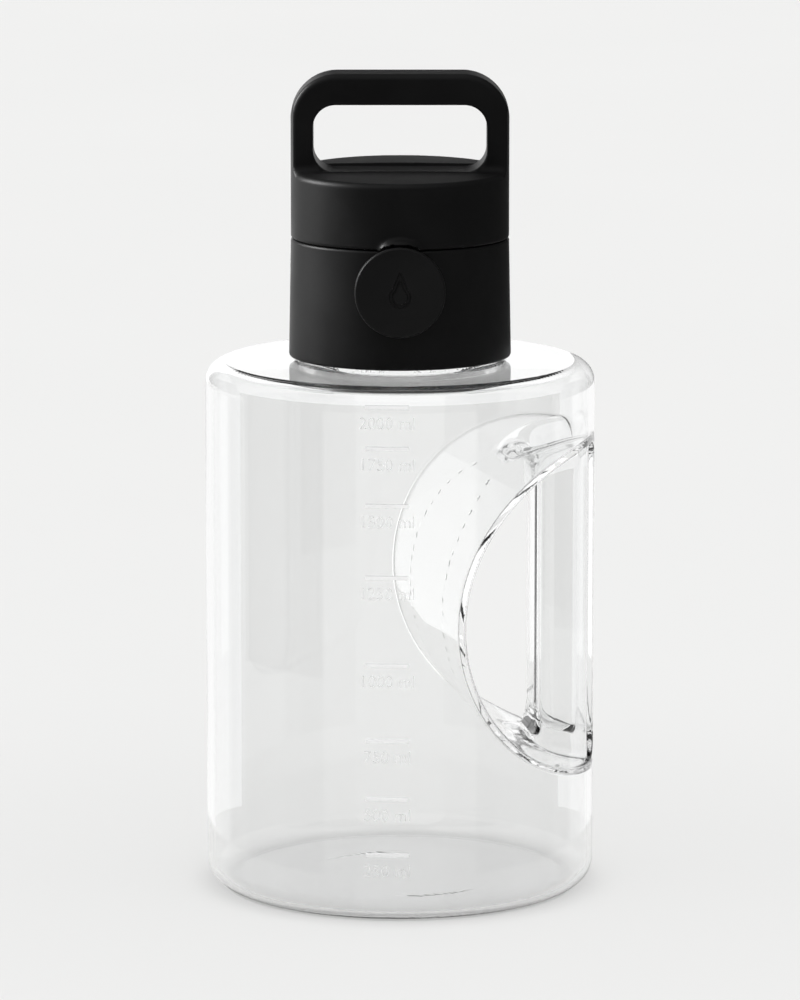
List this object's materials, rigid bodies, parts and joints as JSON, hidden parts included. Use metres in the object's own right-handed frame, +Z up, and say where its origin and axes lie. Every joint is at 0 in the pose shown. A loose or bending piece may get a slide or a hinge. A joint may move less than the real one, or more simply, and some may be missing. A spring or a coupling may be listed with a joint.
{
  "type": "water jug",
  "caption": "Clear round water jug with a handle tunnel and grip post in its side, and a black screw lid with a push-button flip cap and a carry loop.",
  "frame": {"origin": "centre of the flat base, on the surface the jug stands on", "axes": "+Z up along the jug's axis, -Y towards the push button, the cap's hinge at +Y, and the handle 10 degrees behind +X"},
  "size_m": [0.134, 0.1344, 0.2822],
  "materials": {
    "clear_body": "clear, polished",
    "lid_black": "fine satin moulded texture",
    "inner_plastic": "smooth moulded",
    "seals": "soft silicone",
    "steel": "drawn stainless wire"
  },
  "bodies": {
    "jug": {"jug_body": "clear_body"},
    "neck_seal": {"neck_gasket": "seals"},
    "lid": {"spout_insert": "inner_plastic", "lid_collar": "lid_black", "hinge_pin": "steel", "hinge_spring_left": "steel", "hinge_spring_right": "steel", "button_spring_left": "steel", "button_spring_right": "steel"},
    "cap": {"cap_shell": "lid_black", "cap_liner": "inner_plastic", "spout_seal": "seals", "vent_seal": "seals"},
    "button": {"button_face": "lid_black", "latch_slider": "inner_plastic"}
  },
  "joints": [
    {"name": "lid_lift", "type": "slide", "parent": "jug", "child": "neck_seal", "axis": [0, 0, 1], "range_m": [0, 0.0241]},
    {"name": "lid_turn", "type": "hinge", "parent": "neck_seal", "child": "lid", "pos_m": [0, 0, 0.196], "axis": [0, 0, 1], "range_deg": [0, 1080]},
    {"name": "cap_flip", "type": "hinge", "parent": "lid", "child": "cap", "pos_m": [0, 0.0358, 0.2256], "axis": [-1, 0, 0], "range_deg": [0, 105]},
    {"name": "button_press", "type": "slide", "parent": "lid", "child": "button", "axis": [0, 1, 0], "range_m": [0, 0.0022], "stiffness_N_per_m": 1200, "springref_m": -0.002, "deforming": ["button_spring_left", "button_spring_right"]}
  ],
  "couplings": [
    {"joint": "lid_lift", "follows": "lid_turn", "m_per_rad": 0.0012732}
  ]
}
